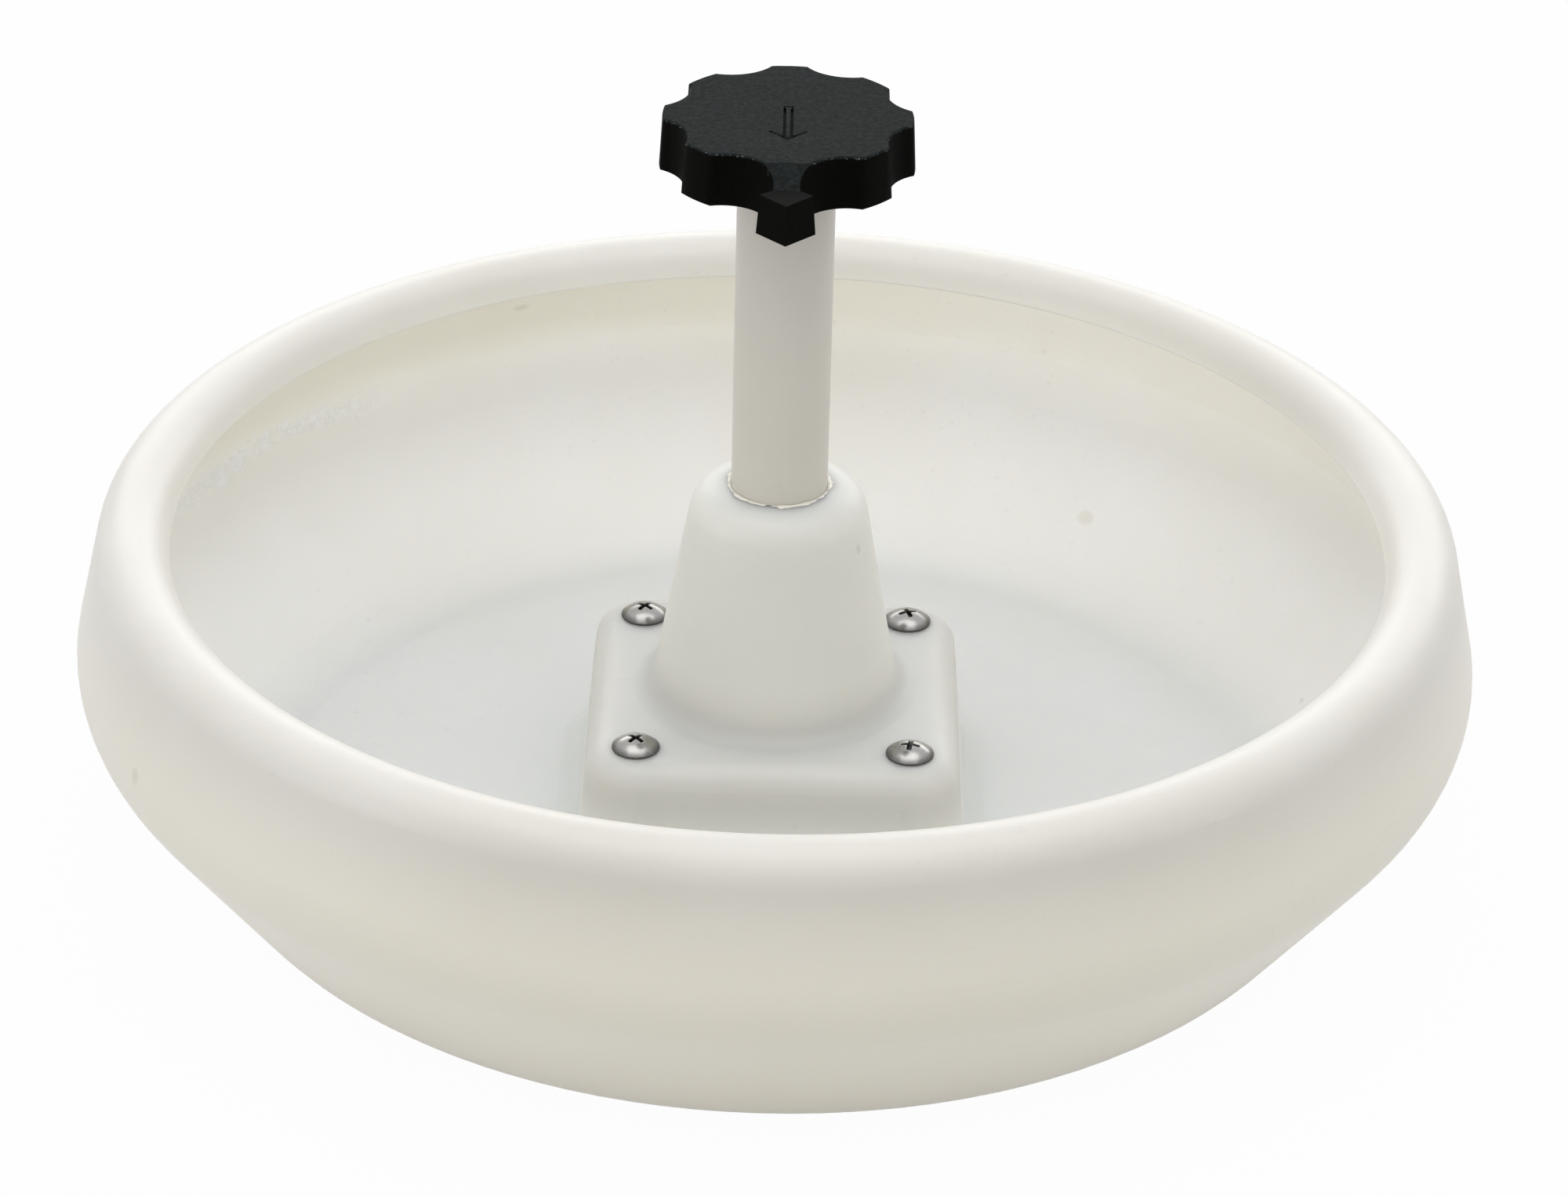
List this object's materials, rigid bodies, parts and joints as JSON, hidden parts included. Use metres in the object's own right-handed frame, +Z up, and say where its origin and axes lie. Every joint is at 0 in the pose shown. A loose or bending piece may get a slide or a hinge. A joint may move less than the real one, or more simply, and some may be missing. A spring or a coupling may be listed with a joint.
{
  "type": "piglet feeder pan",
  "caption": "Round moulded feed pan with a rolled-in rim and a central post whose knob presses down and turns a sprung tee bar to lock the pan to a slatted floor.",
  "frame": {"origin": "middle of the pan's underside, on the axis of the post", "axes": "+Z up along the post, -Y the way the knob's pointer looks, +X to the right of it"},
  "size_m": [0.324, 0.324, 0.1827],
  "materials": {
    "white_polyethylene": "natural white rotationally moulded polyethylene, satin",
    "grey_white_pipe": "plain extruded pipe, satin",
    "black_knob_plastic": "black moulded nylon, fine matt grain",
    "black_nylon": "black machined nylon",
    "stainless_steel": "satin stainless steel",
    "zinc_steel": "zinc plated sheet steel",
    "spring_steel": "drawn spring wire",
    "brass": "turned brass"
  },
  "bodies": {
    "pan": {"feed_pan": "white_polyethylene", "mount_plate": "zinc_steel", "guide_bush": "black_nylon", "spring_seat": "zinc_steel", "latch_spring": "spring_steel", "flange_screw_1": "stainless_steel", "flange_washer_1": "stainless_steel", "flange_nut_1": "stainless_steel", "flange_screw_2": "stainless_steel", "flange_washer_2": "stainless_steel", "flange_nut_2": "stainless_steel", "flange_screw_3": "stainless_steel", "flange_washer_3": "stainless_steel", "flange_nut_3": "stainless_steel", "flange_screw_4": "stainless_steel", "flange_washer_4": "stainless_steel", "flange_nut_4": "stainless_steel"},
    "spring_cap": {"thrust_washer": "stainless_steel"},
    "latch": {"post_tube": "grey_white_pipe", "tube_plug": "black_nylon", "latch_rod": "stainless_steel", "tee_bar": "stainless_steel", "knob": "black_knob_plastic", "clamp_nut": "stainless_steel", "tee_lock_nut": "stainless_steel", "knob_insert": "brass"}
  },
  "joints": [
    {"name": "latch_press", "type": "slide", "parent": "pan", "child": "spring_cap", "axis": [0, 0, -1], "range_m": [0, 0.03], "stiffness_N_per_m": 800, "springref_m": -0.025, "deforming": ["latch_spring"]},
    {"name": "latch_turn", "type": "hinge", "parent": "spring_cap", "child": "latch", "pos_m": [0, 0, 0.1], "axis": [0, 0, 1], "continuous": true}
  ]
}
